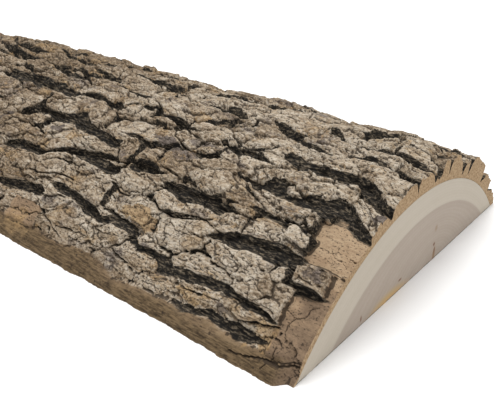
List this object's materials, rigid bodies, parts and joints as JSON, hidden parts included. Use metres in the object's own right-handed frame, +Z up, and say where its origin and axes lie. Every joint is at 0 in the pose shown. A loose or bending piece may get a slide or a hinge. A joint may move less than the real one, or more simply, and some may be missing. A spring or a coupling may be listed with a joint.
{
  "type": "wood slab",
  "caption": "Outer slice of a log, sawn flat underneath and square at both ends, with thick furrowed bark over its arched top",
  "frame": {"origin": "the middle of the flat sawn base", "axes": "+X along the grain to the cut end seen in the picture, +Y across to the back edge, +Z up to the crest of the bark"},
  "size_m": [0.61, 0.2988, 0.083],
  "materials": {
    "wood": "dry sawn end grain and sawn base: pale sapwood round browner heartwood, matt",
    "bark": "rough weathered bark: grey-tan plate tops, black-brown furrows, tan where plates have broken off, matt"
  },
  "bodies": {
    "root": {"wood": "wood", "bark": "bark"}
  },
  "joints": []
}
